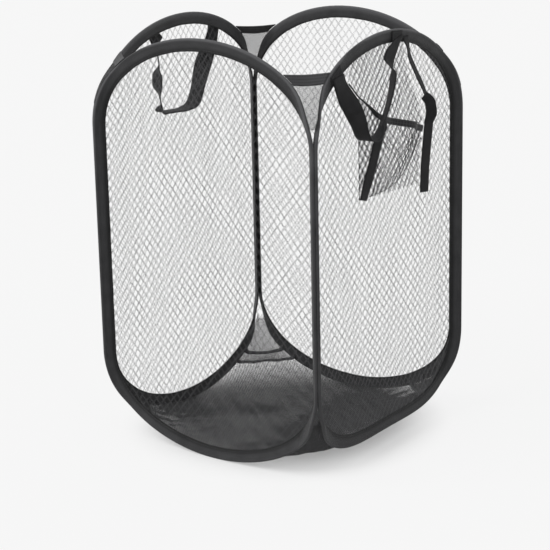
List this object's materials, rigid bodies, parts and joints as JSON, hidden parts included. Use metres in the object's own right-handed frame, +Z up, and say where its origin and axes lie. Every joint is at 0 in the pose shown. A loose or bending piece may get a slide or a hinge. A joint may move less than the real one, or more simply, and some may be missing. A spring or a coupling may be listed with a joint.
{
  "type": "pop up laundry hamper",
  "caption": "Open-topped pop-up laundry hamper of see-through net panels on sprung wire loops, with webbing handles and a side pocket.",
  "frame": {"origin": "on the floor, at the middle of the square footprint", "axes": "+Z up, -Y out of the front panel, +X out of the panel that carries the pocket"},
  "size_m": [0.4032, 0.3658, 0.57],
  "materials": {
    "casing": "matt woven polyester",
    "webbing": "ribbed webbing",
    "net": "fine see-through knitted net",
    "floor_net": "denser knitted net",
    "spring_steel": "drawn spring wire"
  },
  "bodies": {
    "front": {"front_wire": "spring_steel", "front_casing": "casing", "front_net": "net", "front_left_top_gusset": "net", "front_left_top_band": "casing", "front_left_bottom_gusset": "floor_net", "front_right_top_gusset": "net", "front_right_top_band": "casing", "front_right_bottom_gusset": "floor_net", "floor_net": "floor_net"},
    "left": {"left_wire": "spring_steel", "left_casing": "casing", "left_net": "net", "left_handle_tab_a": "webbing", "left_handle_tab_b": "webbing"},
    "right": {"right_wire": "spring_steel", "right_casing": "casing", "right_net": "net", "right_handle_tab_a": "webbing", "right_handle_tab_b": "webbing", "pocket_back_net": "net", "pocket_front_net": "net", "pocket_hem": "casing", "pocket_front_tape": "webbing", "pocket_back_tape": "webbing"},
    "back": {"back_wire": "spring_steel", "back_casing": "casing", "back_net": "net", "back_left_top_gusset": "net", "back_left_top_band": "casing", "back_left_bottom_gusset": "floor_net", "back_right_top_gusset": "net", "back_right_top_band": "casing", "back_right_bottom_gusset": "floor_net"},
    "left_handle": {"left_handle": "webbing"},
    "right_handle": {"right_handle": "webbing"}
  },
  "joints": [
    {"name": "side_fold", "type": "hinge", "parent": "front", "child": "left", "pos_m": [-0.16841, -0.16841, 0.285], "axis": [0, 0, -1], "range_deg": [0, 85], "stiffness_Nm_per_rad": 0.2, "deforming": ["floor_net", "front_right_top_gusset", "front_right_top_band", "front_right_bottom_gusset", "back_right_top_gusset", "back_right_top_band", "back_right_bottom_gusset", "back_left_top_gusset", "back_left_top_band", "back_left_bottom_gusset", "front_left_top_gusset", "front_left_top_band", "front_left_bottom_gusset"]},
    {"name": "right_fold", "type": "hinge", "parent": "front", "child": "right", "pos_m": [0.18043, -0.18043, 0.285], "axis": [0, 0, -1], "range_deg": [0, 85]},
    {"name": "back_fold", "type": "hinge", "parent": "left", "child": "back", "pos_m": [-0.18043, 0.18043, 0.285], "axis": [0, 0, -1], "range_deg": [-85, 0]},
    {"name": "left_handle_swing", "type": "hinge", "parent": "left", "child": "left_handle", "pos_m": [-0.1751, 0.08208, 0.54543], "axis": [0, 0.9986, -0.0536], "range_deg": [0, 165]},
    {"name": "right_handle_swing", "type": "hinge", "parent": "right", "child": "right_handle", "pos_m": [0.1751, -0.11721, 0.52821], "axis": [0, -0.9771, -0.2127], "range_deg": [0, 165]}
  ],
  "couplings": [
    {"joint": "right_fold", "follows": "side_fold", "ratio": 1},
    {"joint": "back_fold", "follows": "side_fold", "ratio": -1}
  ]
}
